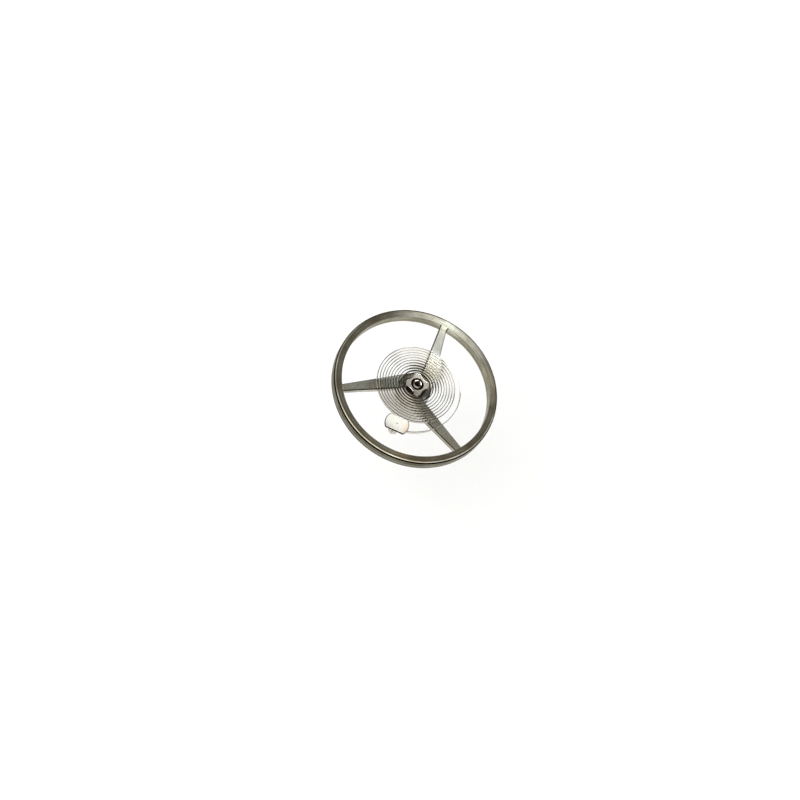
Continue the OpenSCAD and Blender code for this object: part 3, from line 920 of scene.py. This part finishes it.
def card(name, corners, code, strength=1.0, fades=False):
    """A glowing sheet through the corners, in millimetres, with one face between
    each pair of corners and the next pair. The glow of a fading sheet falls evenly
    from its middle to nothing at the ellipse that its first four corners hold."""
    middle = sum(corners, Vector((0, 0, 0))) / len(corners)
    mesh = bpy.data.meshes.new(name)
    mesh.from_pydata([list((p - middle) * MM) for p in corners], [],
                     [(k, k + 1, k + 3, k + 2) for k in range(0, len(corners) - 2, 2)])
    sheet = bpy.data.objects.new(name, mesh)
    sheet.location = middle * MM
    bpy.context.scene.collection.objects.link(sheet)
    paint = bpy.data.materials.new(name)
    paint.use_nodes = True
    tree = paint.node_tree
    tree.nodes.clear()
    shine = add(tree, "ShaderNodeEmission",
                {"Color": linear(code), "Strength": strength}).outputs[0]
    if fades:
        uv = mesh.uv_layers.new(name="sheet")
        for loop in mesh.loops:
            uv.data[loop.index].uv = ((-1, -1), (1, -1), (-1, 1), (1, 1))[loop.vertex_index]
        spread = add(tree, "ShaderNodeUVMap", uv_map="sheet")
        fall = add(tree, "ShaderNodeTexGradient", {"Vector": spread.outputs[0]},
                   gradient_type="SPHERICAL")
        clear = add(tree, "ShaderNodeBsdfTransparent")
        shine = add(tree, "ShaderNodeMixShader",
                    {0: fall.outputs[1], 1: clear.outputs[0], 2: shine}).outputs[0]
    add(tree, "ShaderNodeOutputMaterial", {"Surface": shine})
    mesh.materials.append(paint)
    sheet.visible_camera = sheet.visible_diffuse = sheet.visible_shadow = False
    sheet.visible_transmission = sheet.visible_volume_scatter = False


def rectangle(centre, x_axis, y_axis, width, height):
    """The corners of a rectangle: centre plus or minus half of each side."""
    return [centre + x_axis * (i * width / 2) + y_axis * (j * height / 2)
            for i, j in ((-1, -1), (1, -1), (-1, 1), (1, 1))]


def facing_card(name, distance, to_right, upwards, width, height, code, strength=1.0,
                fades=False, centre=wheel_top):
    """A card square to the mirrored direction, at a distance from the centre, and
    moved to the right and upwards in its own plane."""
    middle = centre + mirrored * distance + beside * upwards + across * to_right
    card(name, rectangle(middle, across, beside, width, height), code, strength, fades)


plate_middle = Vector((0, -stud_r, plate_top))
facing_card("card_above", 14, 0, 1.1, 20, 14.8, "#8c8a84")
card("card_top", rectangle(wheel_top + up * 34 - back * 9.5 + across * 3, across, back, 40, 9.4),
     "#fffcf6", 2.4)
facing_card("card_far", 10, -1.3, 4.6, 14, 3.4, "#f4f8ff", 3.2, fades=True)
facing_card("card_far_right", 10, 4.0, 2.9, 3.4, 3.0, "#dcdad0", 1.3, fades=True)
facing_card("card_coils", 3, 0, 1.6, 4.6, 1.3, "#eef4ff", 9.0)
facing_card("card_collet", 6, 0, 0.05, 1.5, 1.1, "#cdcbc4", 1.5)
facing_card("card_near", 6, 0, -1.4, 5.0, 1.8, "#3a3834")
facing_card("card_right", 10, 2.3, -2.05, 1.6, 1.7, "#b8a18f")
facing_card("card_plate", 7, 0, 0.21, 2.6, 1.3, "#fcfdf8", 1.15, centre=plate_middle)
facing_card("card_warm", 6.8, 1.05, 0.1, 0.9, 1.08, "#f1cb95", centre=plate_middle)
card("card_inside", rectangle(Vector((0, 0, -1.9)) + back * 4.2, across, back, 9, 3.6), "#cecbc2")


def ring_card(name, inner, outer, low, high, code, start=0, end=360, centre=(0, 0)):
    """A card round a point, from one radius and height to another, and from one
    angle to another in degrees."""
    turns = np.radians(np.linspace(start, end, 49))
    card(name, [Vector((centre[0] + r * math.cos(a), centre[1] + r * math.sin(a), z))
                for a in turns for r, z in ((inner, low), (outer, high))], code)


ground, horizon_low, horizon_high, room_r, room_top = -2, -6.5, 14, 60, 42
ring_card("card_below", 2.85, 4.9, ground, ground, "#d6d0c3", 185, 350)
ring_card("card_beside", 5.45, 9, ground, ground, "#adaba6", centre=(0.35, -0.5))
ring_card("card_low", 9, room_r, ground, -floor_drop, "#a3a19a")
ring_card("card_far_floor", room_r, room_r, -floor_drop, horizon_low, "#8f8d86")
ring_card("card_horizon", room_r, room_r, horizon_low, horizon_high, "#1d1c19")
ring_card("card_wall", room_r, room_r, horizon_high, room_top, "#7d7b75")

# %% [markdown]
# Standard colours keep each material as it was written.

# %% Finish
bpy.context.scene.view_settings.view_transform = "Standard"
